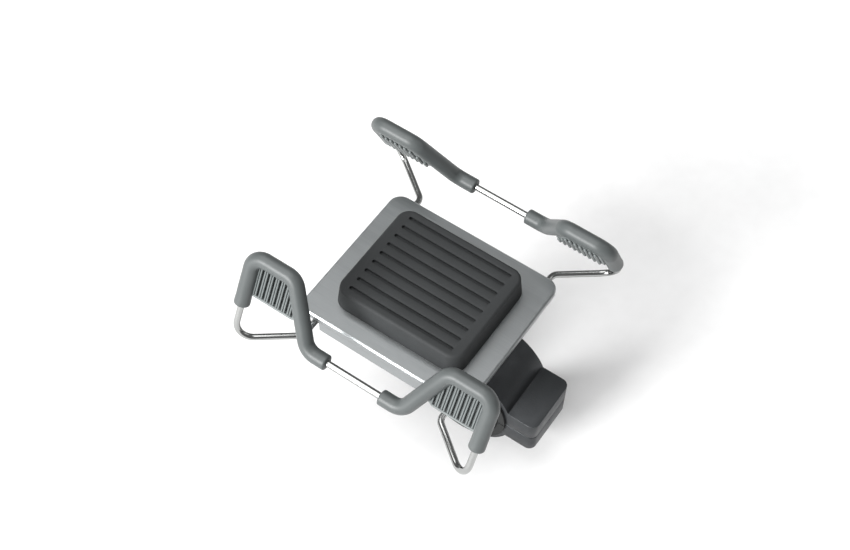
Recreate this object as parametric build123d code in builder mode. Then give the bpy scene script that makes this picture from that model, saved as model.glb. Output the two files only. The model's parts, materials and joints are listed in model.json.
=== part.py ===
from build123d import *
import os
from math import atan2, cos, degrees, hypot, pi, sin

# Phone handlebar mount: two sprung wire arms slide out of a flat aluminium base, which turns on a
# short arm clamped to the handlebar. Millimetres. The origin is on the axis of the bar, midway
# along the clamp. +X runs along the bar to the rider's right, +Y forward, +Z up from the bar.

# --- Driving dimensions ---------------------------------------------------------------------
bar_r = 15.9            # 31.8 mm handlebar
liner_t = 1.0           # rubber liner wall
clamp_t = 3.6           # clamp wall
clamp_w = 24.0          # clamp width along the bar
split_gap = 0.4         # gap between the two clamp halves
reach = 24.0            # swivel centre, forward of the bar axis
boss_r = 13.0           # swivel boss
boss_top = 21.0         # top of the swivel boss

wire_r = 1.25           # 2.5 mm stainless wire
wire_z = 27.0           # height of the sliding legs
leg_s = 29.4            # sliding legs, fore and aft of the swivel centre
leg_end_v = 8.0         # inner end of a leg, out from the middle of the base
knee_v = 36.9           # where a leg turns towards the foot
foot_s = 49.2           # foot and outer leg, fore and aft of the swivel centre
foot_v = 52.0           # foot, out from the middle of the base
arch_v = 35.8           # arch over the edge of the phone
arch_rise = 32.9        # arch above the sliding legs
arch_in_s = 31.8        # inner corner of the arch
bridge_s = 19.9         # corner between the inner leg and the bridge
bridge_drop = 23.8      # bridge below the arch, down the slope of the arm
knee_bend = 4.0
foot_bend = 6.0
arch_bend = 5.0
bridge_bend = 6.0

sleeve_r = 3.0          # rubber sleeve
sleeve_in_s = 11.2      # inner end of the sleeve, on the bridge
sleeve_drop = 21.2      # outer end of the sleeve, down the outer leg
pad_out = 0.2           # outer face of the ribbed pad, outside the centre line of the wire
pad_t = 4.0             # its thickness, towards the phone
pad_inset = 1.6         # its edges, in from the centre line of the wire
pad_drop = 16.2         # bottom edge of the pad, down the slope
pad_in_s = 26.6         # inner bottom corner of the pad
pad_corner = 2.6        # its chamfer

base_half_x = 31.0      # base plate, half width
base_half_s = 36.0      # base plate, half length
base_top = 33.5
flange_z = 29.2         # underside of the end flanges
skirt_z = 25.7          # underside of the side skirts
skirt_half_s = 26.5     # half length of the side skirts
base_skin = 2.0         # top skin
skirt_t = 2.8           # side walls
end_wall_t = 1.8        # end walls
plan_r = 5.0            # corner radius in plan
notch_r = 2.0           # radius where the skirt meets the flange

barrel_r = 4.0          # spring barrels under the flanges
barrel_half_x = 27.2
spring_bore_r = 2.5
floor_half_s = 25.9     # housing floor, half length
floor_top = 28.7        # top of the housing floor
well_r = 8.5            # well for the swivel bolt head
well_floor = 27.2
housing_fit = 0.1       # clearance of the housing in the base plate
turn_gap = 0.02         # face gap of the turning parts
running_fit = 0.05      # radial clearance of a shaft or wire in its bore
screw_x = 20.0          # housing screws
screw_s = 16.0

rest_half_x = 23.0      # rubber rest pad under the phone
rest_half_s = 27.0
rest_h = 8.8
rest_plan_r = 6.0
rest_edge_r = 1.2
rest_draft = 6.0        # degrees

# --- Derived values -------------------------------------------------------------------------
clamp_in_r = bar_r + liner_t
clamp_out_r = clamp_in_r + clamp_t
half_gap = split_gap / 2
arch_z = wire_z + arch_rise
lean = atan2(foot_v - arch_v, arch_rise)      # the arms lean in over the phone
sides = {"left": -1, "right": 1}
ends = {"front": 1, "rear": -1}

os.makedirs("parts", exist_ok=True)
volumes = {}


def save(part, name):
    """Label a finished piece and write it to its own file."""
    part.label = name
    volumes[name] = part.volume
    export_step(part, f"parts/{name}.step")


# --- Clamp ----------------------------------------------------------------------------------
ear_out = 30.5
ear_h = 8.0
ear_screw_y = 25.2
ear_screw_x = 7.4
m4_r = 2.0
m4_head_r = 3.5
m4_head_h = 4.0
m4_tip_z = 6.6
m4_clear_r = 2.2
m4_hex_r = 1.5
hex_depth = 2.0
ear_round = 3.0
boss_chamfer = 0.5


def half_clamp_profile(up):
    """Half ring and its two ears, above (up=1) or below (up=-1) the split."""
    Circle(clamp_out_r)
    with Locations((0, up * ear_h / 2)):
        Rectangle(2 * ear_out, ear_h)
    Circle(clamp_in_r, mode=Mode.SUBTRACT)
    with Locations((0, -up * (clamp_out_r - half_gap))):
        Rectangle(4 * clamp_out_r, 2 * clamp_out_r, mode=Mode.SUBTRACT)


ear_screws = [(x, y) for x in (-ear_screw_x, ear_screw_x) for y in (-ear_screw_y, ear_screw_y)]
bolt_thread_r = 2.5
bolt_tip_z = 10.0
bolt_room = 1.0         # depth of the tapped hole past the bolt

with BuildPart() as clamp_arm:
    with BuildSketch(Plane.YZ):
        half_clamp_profile(1)
    extrude(amount=clamp_w / 2, both=True)
    fillet(clamp_arm.edges().filter_by(Axis.Z), ear_round)
    with BuildSketch(Plane.XY.offset(half_gap)):
        with Locations((0, reach)):
            Circle(boss_r)
    extrude(amount=boss_top - half_gap)
    with BuildSketch(Plane.YZ):
        Circle(clamp_in_r)
    extrude(amount=clamp_w, both=True, mode=Mode.SUBTRACT)
    with BuildSketch(Plane.XY):
        with Locations(*ear_screws):
            Circle(m4_r)
    extrude(amount=m4_tip_z + half_gap, mode=Mode.SUBTRACT)
    with BuildSketch(Plane.XY.offset(bolt_tip_z - bolt_room)):
        with Locations((0, reach)):
            Circle(bolt_thread_r)
    extrude(amount=boss_top, mode=Mode.SUBTRACT)
    chamfer(clamp_arm.edges().filter_by(GeomType.CIRCLE).group_by(Axis.Z)[-1], boss_chamfer)
save(clamp_arm.part, "clamp_arm")

head_clear = 0.2        # clearance round the screw heads
with BuildPart() as clamp_cap:
    with BuildSketch(Plane.YZ):
        half_clamp_profile(-1)
    extrude(amount=clamp_w / 2, both=True)
    fillet(clamp_cap.edges().filter_by(Axis.Z), ear_round)
    with BuildSketch(Plane.XY.offset(-ear_h)):
        with Locations(*ear_screws):
            Circle(m4_clear_r)
    extrude(amount=ear_h, mode=Mode.SUBTRACT)
    with BuildSketch(Plane.XY.offset(-ear_h)):
        with Locations(*ear_screws):
            Circle(m4_head_r + head_clear)
    extrude(amount=m4_head_h, mode=Mode.SUBTRACT)
save(clamp_cap.part, "clamp_cap")

with BuildPart() as cap_screws:
    with BuildSketch(Plane.XY.offset(-ear_h)):
        with Locations(*ear_screws):
            Circle(m4_head_r)
            RegularPolygon(m4_hex_r, 6, mode=Mode.SUBTRACT)
    extrude(amount=m4_head_h)
    with BuildSketch(Plane.XY.offset(hex_depth - ear_h)):
        with Locations(*ear_screws):
            Circle(m4_r)
    extrude(amount=ear_h - hex_depth + m4_tip_z)
save(cap_screws.part, "cap_screws")

lip_t = 1.0
lip_r = 18.6
for name, up in (("liner_upper", 1), ("liner_lower", -1)):
    with BuildPart() as liner:
        with BuildSketch(Plane.YZ):
            Circle(clamp_in_r)
        extrude(amount=clamp_w / 2, both=True)
        for face in (-clamp_w / 2 - lip_t, clamp_w / 2):
            with BuildSketch(Plane.YZ.offset(face)):
                Circle(lip_r)
            extrude(amount=lip_t)
        with BuildSketch(Plane.YZ):
            Circle(bar_r)
            with Locations((0, -up * (lip_r - half_gap))):
                Rectangle(3 * lip_r, 2 * lip_r)
        extrude(amount=clamp_w, both=True, mode=Mode.SUBTRACT)
    save(liner.part, name)

# --- Swivel ---------------------------------------------------------------------------------
shoulder_r = 4.0
shoulder_top = 28.05
bolt_head_r = 6.5
bolt_head_top = 31.0
washer_top = boss_top + 1.0
washer_in_r = 4.1
bolt_hex_r = 2.3
bolt_hex_depth = 2.2
washer_inset = 0.5      # friction washer, in from the edge of the boss
wave_inset = 0.3        # wave washer, in from the edge of the bolt head

with BuildPart() as swivel_bolt:
    with BuildSketch(Plane.XY.offset(bolt_tip_z)):
        with Locations((0, reach)):
            Circle(bolt_thread_r)
    extrude(amount=boss_top - bolt_tip_z)
    with BuildSketch(Plane.XY.offset(boss_top)):
        with Locations((0, reach)):
            Circle(shoulder_r)
    extrude(amount=shoulder_top - boss_top)
    with BuildSketch(Plane.XY.offset(shoulder_top)):
        with Locations((0, reach)):
            Circle(bolt_head_r)
    extrude(amount=bolt_head_top - shoulder_top)
    with BuildSketch(Plane.XY.offset(bolt_head_top)):
        with Locations((0, reach)):
            RegularPolygon(bolt_hex_r, 6)
    extrude(amount=-bolt_hex_depth, mode=Mode.SUBTRACT)
save(swivel_bolt.part, "swivel_bolt")

with BuildPart() as friction_washer:
    with BuildSketch(Plane.XY.offset(boss_top)):
        with Locations((0, reach)):
            Circle(boss_r - washer_inset)
            Circle(washer_in_r, mode=Mode.SUBTRACT)
    extrude(amount=washer_top - boss_top)
save(friction_washer.part, "friction_washer")

with BuildPart() as wave_washer:
    with BuildSketch(Plane.XY.offset(well_floor + turn_gap)):
        with Locations((0, reach)):
            Circle(bolt_head_r - wave_inset)
            Circle(washer_in_r, mode=Mode.SUBTRACT)
    extrude(amount=shoulder_top - well_floor - turn_gap)
save(wave_washer.part, "wave_washer")

# --- Base -----------------------------------------------------------------------------------
housing_screws_at = [(x, reach + s) for x in (-screw_x, screw_x) for s in (-screw_s, screw_s)]
pocket_half_x = base_half_x - skirt_t
pocket_half_s = base_half_s - end_wall_t
pocket_top = base_top - base_skin
post_r = 3.2
m3_r = 1.5
m3_tip_z = 32.3
m3_head_r = 2.9
m3_head_h = 1.7
m3_clear_r = 1.7
m3_hex_r = 1.1
m3_hex_depth = 1.0
edge_break = 0.6

with BuildPart() as base_plate:
    with BuildSketch(Plane.XY.offset(flange_z)):
        with Locations((0, reach)):
            RectangleRounded(2 * base_half_x, 2 * base_half_s, plan_r)
    extrude(amount=base_top - flange_z)
    with BuildSketch(Plane.XY.offset(skirt_z)):
        with Locations((0, reach)):
            Rectangle(2 * base_half_x, 2 * skirt_half_s)
    extrude(amount=flange_z - skirt_z)
    notch_edges = base_plate.edges().filter_by(Axis.X).group_by(Axis.Z)[1]
    fillet(notch_edges, notch_r)
    with BuildSketch(Plane.XY.offset(skirt_z)):
        with Locations((0, reach)):
            Rectangle(2 * pocket_half_x, 2 * pocket_half_s)
    extrude(amount=pocket_top - skirt_z, mode=Mode.SUBTRACT)
    with BuildSketch(Plane.XY.offset(floor_top)):
        with Locations(*housing_screws_at):
            Circle(post_r)
    extrude(amount=pocket_top - floor_top)
    with BuildSketch(Plane.XY.offset(floor_top)):
        with Locations(*housing_screws_at):
            Circle(m3_r)
    extrude(amount=m3_tip_z - floor_top, mode=Mode.SUBTRACT)
    chamfer(base_plate.faces().sort_by(Axis.Z)[-1].outer_wire().edges(), edge_break)
save(base_plate.part, "base_plate")

with BuildPart() as base_housing:
    with BuildSketch(Plane.XY.offset(skirt_z)):
        with Locations((0, reach)):
            Rectangle(2 * (pocket_half_x - housing_fit), 2 * floor_half_s)
    extrude(amount=floor_top - skirt_z)
    with BuildSketch(Plane.YZ.offset(-barrel_half_x)):
        with Locations((reach - leg_s, wire_z), (reach + leg_s, wire_z)):
            Circle(barrel_r)
    extrude(amount=2 * barrel_half_x)
    with BuildSketch(Plane.XY.offset(washer_top + turn_gap)):
        with Locations((0, reach)):
            Circle(boss_r)
    extrude(amount=skirt_z - washer_top - turn_gap)
    with BuildSketch(Plane.YZ.offset(-base_half_x)):
        with Locations((reach - leg_s, wire_z), (reach + leg_s, wire_z)):
            Circle(spring_bore_r)
    extrude(amount=2 * base_half_x, mode=Mode.SUBTRACT)
    with BuildSketch(Plane.XY.offset(well_floor)):
        with Locations((0, reach)):
            Circle(well_r)
    extrude(amount=floor_top - well_floor, mode=Mode.SUBTRACT)
    with BuildSketch(Plane.XY):
        with Locations((0, reach)):
            Circle(shoulder_r + running_fit)
    extrude(amount=floor_top, mode=Mode.SUBTRACT)
    with BuildSketch(Plane.XY.offset(skirt_z)):
        with Locations(*housing_screws_at):
            Circle(m3_clear_r)
    extrude(amount=floor_top - skirt_z, mode=Mode.SUBTRACT)
    with BuildSketch(Plane.XY.offset(skirt_z)):
        with Locations(*housing_screws_at):
            Circle(m3_head_r + housing_fit)
    extrude(amount=m3_head_h, mode=Mode.SUBTRACT)
save(base_housing.part, "base_housing")

with BuildPart() as housing_screws:
    with BuildSketch(Plane.XY.offset(skirt_z)):
        with Locations(*housing_screws_at):
            Circle(m3_head_r)
            RegularPolygon(m3_hex_r, 6, mode=Mode.SUBTRACT)
    extrude(amount=m3_head_h)
    with BuildSketch(Plane.XY.offset(skirt_z + m3_hex_depth)):
        with Locations(*housing_screws_at):
            Circle(m3_r)
    extrude(amount=m3_tip_z - skirt_z - m3_hex_depth)
save(housing_screws.part, "housing_screws")

groove_w = 1.6
groove_pitch = 4.6
groove_depth = 1.2
groove_count = 9
groove_end = 5.0        # from the end of a groove to the end of the pad
with BuildPart() as rest_pad:
    with BuildSketch(Plane.XY.offset(base_top)):
        with Locations((0, reach)):
            RectangleRounded(2 * rest_half_x, 2 * rest_half_s, rest_plan_r)
    extrude(amount=rest_h, taper=rest_draft)
    fillet(rest_pad.faces().sort_by(Axis.Z)[-1].outer_wire().edges(), rest_edge_r)
    with BuildSketch(Plane.XY.offset(base_top + rest_h)):
        with Locations((0, reach)):
            with GridLocations(groove_pitch, 1, groove_count, 1):
                SlotOverall(2 * (rest_half_s - groove_end), groove_w, rotation=90)
    extrude(amount=-groove_depth, mode=Mode.SUBTRACT)
save(rest_pad.part, "rest_pad")

bush_seat_v = 24.6
bush_flange_r = 3.4
bush_flange_t = 0.8
collar_r = 2.3
collar_len = 3.0
spring_in_r = 1.65


def leg_ring(side, end, spans):
    """Rings on a sliding leg. spans lists (outer radius, inner radius, from v, to v)."""
    with BuildPart() as ring:
        for outer_r, inner_r, v0, v1 in spans:
            with BuildSketch(Plane.YZ.offset(side * v0)):
                with Locations((reach + end * leg_s, wire_z)):
                    Circle(outer_r)
                    Circle(inner_r, mode=Mode.SUBTRACT)
            extrude(amount=side * (v1 - v0))
    return ring.part


for side_name, side in sides.items():
    for end_name, end in ends.items():
        tail = f"{side_name}_{end_name}"
        bush_hole_r = wire_r + running_fit
        bush_end_v = barrel_half_x + bush_flange_t
        bush_spans = [
            (spring_bore_r, bush_hole_r, bush_seat_v, barrel_half_x),
            (bush_flange_r, bush_hole_r, barrel_half_x, bush_end_v),
        ]
        collar_end_v = leg_end_v + collar_len
        save(leg_ring(side, end, bush_spans), f"bush_{tail}")
        save(leg_ring(side, end, [(collar_r, wire_r, leg_end_v, collar_end_v)]), f"collar_{tail}")
        save(leg_ring(side, end, [(collar_r, spring_in_r, collar_end_v, bush_seat_v)]),
             f"spring_{tail}")


# --- Wire arms ------------------------------------------------------------------------------
def arm_plane(side):
    """Plane of an arm: x runs forward, y up the slope, from the middle of the arch."""
    up_slope = Vector(-side * sin(lean), 0, cos(lean))
    normal = Vector(0, 1, 0).cross(up_slope)
    return Plane(origin=(side * arch_v, reach, arch_z), x_dir=(0, 1, 0), z_dir=normal)


def arm_half(side, end):
    """Corners of one half of an arm, from the end of its leg to the bridge."""
    plane = arm_plane(side)
    hoop = [(foot_s, 0), (arch_in_s, 0), (bridge_s, -bridge_drop)]
    corners = [Vector(side * v, reach + end * s, wire_z)
               for v, s in ((leg_end_v, leg_s), (knee_v, leg_s), (foot_v, foot_s))]
    return corners + [plane.from_local_coords(Vector(end * s, h)) for s, h in hoop]


def sleeve_route(end):
    """Centre line of a sleeve in the plane of its arm."""
    corners = [
        (end * sleeve_in_s, -bridge_drop),
        (end * bridge_s, -bridge_drop),
        (end * arch_in_s, 0),
        (end * foot_s, 0),
        (end * foot_s, -sleeve_drop),
    ]
    FilletPolyline(*corners, radius=[bridge_bend, arch_bend, arch_bend])


def pad_outline(end):
    """Corners of a pad in the plane of its arm, set in from the wire, with its inner corner cut."""
    inner_slope = (arch_in_s - bridge_s) / bridge_drop
    inner_s = arch_in_s + pad_inset * hypot(1, inner_slope)
    corner_drop = pad_drop - pad_corner
    corners = [
        (foot_s - pad_inset, -pad_inset),
        (inner_s - inner_slope * pad_inset, -pad_inset),
        (inner_s - inner_slope * corner_drop, -corner_drop),
        (pad_in_s + pad_corner, -pad_drop),
        (foot_s - pad_inset, -pad_drop),
    ]
    return [(end * s, h) for s, h in corners]


half_bends = [knee_bend, foot_bend, arch_bend, arch_bend, bridge_bend]

for side_name, side in sides.items():
    with BuildPart() as wire_arm:
        with BuildLine() as wire_line:
            route = arm_half(side, 1) + arm_half(side, -1)[::-1]
            FilletPolyline(*route, radius=half_bends + half_bends[::-1])
        with BuildSketch(Plane(origin=wire_line.line @ 0, z_dir=wire_line.line % 0)):
            Circle(wire_r)
        sweep()
    save(wire_arm.part, f"wire_arm_{side_name}")
    wire_length = sum(edge.length for edge in wire_line.edges())
    print(f"wire_arm_{side_name}: {wire_length:.1f} mm long,",
          f"volume {wire_arm.part.volume:.1f},",
          f"section times length {pi * wire_r**2 * wire_length:.1f}")

    for end_name, end in ends.items():
        tail = f"{side_name}_{end_name}"
        with BuildPart() as sleeve:
            with BuildLine(arm_plane(side)) as sleeve_line:
                sleeve_route(end)
            with BuildSketch(Plane(origin=sleeve_line.line @ 0, z_dir=sleeve_line.line % 0)):
                Circle(sleeve_r)
                Circle(wire_r, mode=Mode.SUBTRACT)
            sweep()
        save(sleeve.part, f"sleeve_{tail}")

        with BuildPart() as pad:
            with BuildSketch(arm_plane(side).offset(side * pad_out)):
                with BuildLine():
                    Polyline(*pad_outline(end), close=True)
                make_face()
            extrude(amount=-side * pad_t)
            with BuildLine(arm_plane(side)) as sleeve_line:
                sleeve_route(end)
            with BuildSketch(Plane(origin=sleeve_line.line @ 0, z_dir=sleeve_line.line % 0)):
                Circle(sleeve_r)
            sweep(mode=Mode.SUBTRACT)
        save(pad.part.solids().sort_by(SortBy.VOLUME)[-1], f"pad_{tail}")

print(f"arms lean in {degrees(lean):.1f} degrees; {len(volumes)} pieces")
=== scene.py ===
# %% [markdown]
# # A phone handlebar mount
# Two bent wire arms in rubber sleeves grip a phone by its long sides. Their legs slide in a flat
# aluminium base against coil springs, and the base turns on a clamp round the handlebar.
# The CAD model comes first: it fixes the main sizes, and each piece below takes its place from it.

# %% Load the CAD frame
import json
import math

import bmesh
import bpy
from mathutils import Matrix, Vector


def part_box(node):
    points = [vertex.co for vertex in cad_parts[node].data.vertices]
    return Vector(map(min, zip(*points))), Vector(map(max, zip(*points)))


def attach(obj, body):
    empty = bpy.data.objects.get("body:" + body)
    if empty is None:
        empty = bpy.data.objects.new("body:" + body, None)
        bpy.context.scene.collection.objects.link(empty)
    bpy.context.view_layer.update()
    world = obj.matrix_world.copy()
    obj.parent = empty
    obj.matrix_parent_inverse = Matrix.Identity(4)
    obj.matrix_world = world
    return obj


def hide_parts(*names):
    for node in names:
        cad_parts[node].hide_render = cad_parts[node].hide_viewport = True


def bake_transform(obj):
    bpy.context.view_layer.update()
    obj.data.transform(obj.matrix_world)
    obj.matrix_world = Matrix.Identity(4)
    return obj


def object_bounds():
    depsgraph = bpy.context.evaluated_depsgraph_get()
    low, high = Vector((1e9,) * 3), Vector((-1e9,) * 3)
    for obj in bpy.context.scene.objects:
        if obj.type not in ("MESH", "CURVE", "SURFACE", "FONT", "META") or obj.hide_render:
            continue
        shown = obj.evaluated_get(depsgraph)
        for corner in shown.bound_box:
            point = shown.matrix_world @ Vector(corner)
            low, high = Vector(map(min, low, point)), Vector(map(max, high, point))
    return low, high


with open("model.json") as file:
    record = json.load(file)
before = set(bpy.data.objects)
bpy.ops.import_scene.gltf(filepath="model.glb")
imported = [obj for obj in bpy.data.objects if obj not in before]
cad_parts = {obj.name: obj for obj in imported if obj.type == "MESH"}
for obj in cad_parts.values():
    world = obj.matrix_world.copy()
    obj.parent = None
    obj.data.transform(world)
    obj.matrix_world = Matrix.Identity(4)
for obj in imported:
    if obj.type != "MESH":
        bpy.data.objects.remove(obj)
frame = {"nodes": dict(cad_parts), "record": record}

cad_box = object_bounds()
scene = bpy.context.scene
MM = 0.001
print("CAD box, mm:", [[round(c / MM, 1) for c in corner] for corner in cad_box])

# %% [markdown]
# ## Measures
# A drawing of this mount would give a few sizes and let the rest follow. The same is done here:
# the boxes of the CAD nodes give the places, and the bends and radii are the maker's own numbers.

# %% Places from the CAD nodes
SIDES = {"left": -1, "right": 1}
ENDS = {"front": 1, "rear": -1}
CORNERS = [(side, SIDES[side], ENDS[end], f"{side}_{end}") for side in SIDES for end in ENDS]

wire_r = 1.25 * MM
sleeve_r = 2.93 * MM
wire_low, wire_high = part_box("wire_arm_right")
bolt_low, bolt_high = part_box("swivel_bolt")
swivel_y = (bolt_low.y + bolt_high.y) / 2
wire_z = wire_low.z + wire_r
arch_z = wire_high.z - wire_r
foot_s = (wire_high.y - wire_low.y) / 2 - wire_r
leg_s = sum(corner.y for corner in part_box("bush_right_front")) / 2 - swivel_y
leg_end_v = wire_low.x
print("swivel at y", round(swivel_y / MM, 2), "mm, legs", round(2 * leg_s / MM, 1), "mm apart")

# %% The bends of an arm
knee_v, foot_v, arch_v = 36.9 * MM, 52.0 * MM, 35.8 * MM
arch_in_s, bridge_s, bridge_drop = 31.8 * MM, 19.9 * MM, 23.8 * MM
knee_bend, foot_bend, arch_bend, bridge_bend = 4 * MM, 6 * MM, 5 * MM, 6 * MM
sleeve_in_s, sleeve_drop = 11.2 * MM, 21.2 * MM
lean = math.atan2(foot_v - arch_v, arch_z - wire_z)
print("the arms lean in by", round(math.degrees(lean), 1), "degrees")


def arm_frame(side):
    """Matrix of an arm's own plane: x forward, y up the slope, z out, from the middle of the arch."""
    up = Vector((-side * math.sin(lean), 0, math.cos(lean)))
    out = Vector((side * math.cos(lean), 0, math.sin(lean)))
    turn = Matrix((Vector((0, 1, 0)), up, out)).transposed().to_4x4()
    return Matrix.Translation((side * arch_v, swivel_y, arch_z)) @ turn


# %% [markdown]
# ## The camera
# The camera looks down on the mount from behind and to the left, from 57.5 cm. Its lens is fairly
# long, which keeps the arms from looking splayed. A camera can be turned by three angles, but a
# direction to look in and a roll about it are easier to choose, so the turn is worked out from them.

# %% Camera
camera_aim = Vector((5.12, 29.80, 35.0)) * MM
camera_distance = 575.0 * MM
camera_lens_mm = 67.7647
camera_heading, camera_dip, camera_roll = (math.radians(a) for a in (57.65, 56.53, 2.58))

ahead = Vector((
    math.sin(camera_heading) * math.cos(camera_dip),
    math.cos(camera_heading) * math.cos(camera_dip),
    -math.sin(camera_dip),
))
camera_data = bpy.data.cameras.new("camera")
camera_data.lens = camera_lens_mm
camera_data.clip_start = 0.01
camera = bpy.data.objects.new("camera", camera_data)
scene.collection.objects.link(camera)
camera.rotation_mode = "QUATERNION"
camera.rotation_quaternion = (
    ahead.to_track_quat("-Z", "Y") @ Matrix.Rotation(camera_roll, 3, "Z").to_quaternion()
)
camera.location = camera_aim - ahead * camera_distance
scene.camera = camera
scene.view_settings.view_transform = "Standard"
print("camera at", [round(c / MM) for c in camera.location], "mm")

# %% [markdown]
# ## Two helpers for colour and nodes
# Colours are chosen as sRGB hex values, the way a colour chart gives them, and Blender works in
# linear light, so one function converts. Another adds a node with its settings, values and links.
# With those two, a material reads as a short list of what it is made of.

# %% Colour and node helpers
def linear(hex_colour):
    """Linear RGBA of an sRGB hex colour."""
    parts = [int(hex_colour[i:i + 2], 16) / 255 for i in (1, 3, 5)]
    return [c / 12.92 if c <= 0.04045 else ((c + 0.055) / 1.055) ** 2.4 for c in parts] + [1.0]


def add(tree, kind, inputs=None, **settings):
    """Add a node, set its properties, then set or link its inputs, given by name or by number."""
    node = tree.nodes.new(kind)
    for name, value in settings.items():
        setattr(node, name, value)
    live = [socket for socket in node.inputs if socket.enabled]
    for key, value in (inputs or {}).items():
        socket = live[key] if isinstance(key, int) else next(s for s in live if s.name == key)
        if isinstance(value, bpy.types.Node):
            value = next(s for s in value.outputs if s.enabled)
        if isinstance(value, bpy.types.NodeSocket):
            tree.links.new(value, socket)
        else:
            socket.default_value = value
    return node


def start_material(name):
    """An empty material and its node tree."""
    material = bpy.data.materials.new(name)
    material.use_nodes = True
    material.node_tree.nodes.clear()
    return material, material.node_tree


# %% [markdown]
# ## Floor and light
# The mount is shown on plain pale paper. The main soft light hangs on the left and in front, so
# the round sleeves go from light grey to dark across their width. A weaker one hangs above, a faint
# one fills from the right, and a dim even glow from all round is left for the wire to reflect.

# %% Floor
floor_half, floor_gap = 0.9, 0.5 * MM
floor_z = cad_box[0].z - floor_gap
paper, tree = start_material("white_backdrop_paper")
paper_fleck = add(tree, "ShaderNodeTexNoise", {"Scale": 1 / (4 * MM), "Detail": 3.0})
paper_tone = add(
    tree, "ShaderNodeMix",
    {"Factor": paper_fleck, "A": linear("#f4f4f4"), "B": linear("#fbfbfb")}, data_type="RGBA",
)
paper_shader = add(
    tree, "ShaderNodeBsdfPrincipled", {"Base Color": paper_tone, "Roughness": 0.9}
)
add(tree, "ShaderNodeOutputMaterial", {"Surface": paper_shader})

floor_mesh = bpy.data.meshes.new("floor")
floor_corners = [(-1, -1), (1, -1), (1, 1), (-1, 1)]
floor_mesh.from_pydata([(x * floor_half, y * floor_half, floor_z) for x, y in floor_corners], [],
                       [(0, 1, 2, 3)])
floor_mesh.materials.append(paper)
floor = bpy.data.objects.new("floor", floor_mesh)
scene.collection.objects.link(floor)
print("floor at", round(floor_z / MM, 1), "mm")

# %% Lights
world = bpy.data.worlds.new("studio")
world.use_nodes = True
world.node_tree.nodes["Background"].inputs["Color"].default_value = linear("#ffffff")
world.node_tree.nodes["Background"].inputs["Strength"].default_value = 0.22
scene.world = world


def soft_light(name, place, size, power):
    """A square area light, aimed at the mount."""
    data = bpy.data.lights.new(name, "AREA")
    data.size = size
    data.energy = power
    light = bpy.data.objects.new(name, data)
    light.location = Vector(place)
    light.rotation_mode = "QUATERNION"
    light.rotation_quaternion = (camera_aim - light.location).to_track_quat("-Z", "Y")
    scene.collection.objects.link(light)
    print(name, power, "W")


soft_light("key_light", (-1.57, 0.56, 0.70), size=0.8, power=57.0)
soft_light("top_light", (-0.1, 0.35, 1.0), size=0.9, power=8.5)
soft_light("fill_light", (0.6, -0.6, 0.7), size=0.7, power=1.5)

# %% [markdown]
# ## Rubber
# The sleeves and pads are moulded silicone rubber. The mould is polished but not bright, so the
# surface is satin: it shades smoothly and has a wide, weak highlight. Handling leaves faint cloudy
# patches. A Principled shader with silicone's IOR and two noises, one for cloud and one for grain,
# is enough, and with duller numbers it serves the solid rubber of the rest pad and the liners too.
# The grain would be 0.05 mm and is drawn at 0.4 to 0.5 mm, so that it shows at all.

# %% Moulded rubber
SILICONE_IOR = 1.43


def moulded_rubber(name, light, dark, roughness, cloud_mm, grain_mm, grain_depth_mm):
    """Moulded rubber: cloudy colour and a fine grain."""
    material, tree = start_material(name)
    place = add(tree, "ShaderNodeTexCoord").outputs["Object"]
    cloud = add(tree, "ShaderNodeTexNoise", {"Vector": place, "Scale": 1 / (cloud_mm * MM), "Detail": 3.0})
    grain = add(tree, "ShaderNodeTexNoise", {"Vector": place, "Scale": 1 / (grain_mm * MM), "Detail": 4.0})
    colour = add(
        tree, "ShaderNodeMix", {"Factor": cloud, "A": linear(dark), "B": linear(light)}, data_type="RGBA"
    )
    gloss = add(
        tree, "ShaderNodeMapRange",
        {"Value": grain, "To Min": roughness - 0.06, "To Max": roughness + 0.06},
    )
    relief = add(
        tree, "ShaderNodeBump", {"Height": grain, "Distance": grain_depth_mm * MM, "Strength": 0.5}
    )
    rubber = add(
        tree, "ShaderNodeBsdfPrincipled",
        {"Base Color": colour, "Roughness": gloss, "IOR": SILICONE_IOR, "Normal": relief},
    )
    add(tree, "ShaderNodeOutputMaterial", {"Surface": rubber})
    return material


sleeve_rubber = moulded_rubber(
    "satin_silicone_rubber", "#555959", "#494d4d",
    roughness=0.43, cloud_mm=9, grain_mm=0.4, grain_depth_mm=0.03,
)
pad_rubber = moulded_rubber(
    "ribbed_silicone_rubber", "#717676", "#646969",
    roughness=0.42, cloud_mm=6, grain_mm=0.4, grain_depth_mm=0.03,
)
rest_rubber = moulded_rubber(
    "matt_solid_rubber", "#303233", "#282a2b",
    roughness=0.72, cloud_mm=7, grain_mm=0.5, grain_depth_mm=0.06,
)
liner_rubber = moulded_rubber(
    "epdm_liner_rubber", "#1e1f1f", "#171818",
    roughness=0.8, cloud_mm=5, grain_mm=0.5, grain_depth_mm=0.05,
)
print("rubbers:", sleeve_rubber.name, pad_rubber.name, rest_rubber.name, liner_rubber.name)

# %% [markdown]
# ## Drawn stainless wire
# Spring wire is pulled through a die and then polished, which leaves it bright with very fine lines
# along its length. Lines that followed the room's axes would cut across the bends, so the sweep
# that makes the wire also writes two attributes, the distance along it and the place round it, and
# the noise is stretched along the first. The metal keeps the default IOR, and its lines change only
# the gloss. They are some hundredths of a millimetre wide, and are drawn at about 0.3 mm.

# %% Drawn stainless steel
LINES_PER_METRE_ALONG = 12.0


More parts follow.
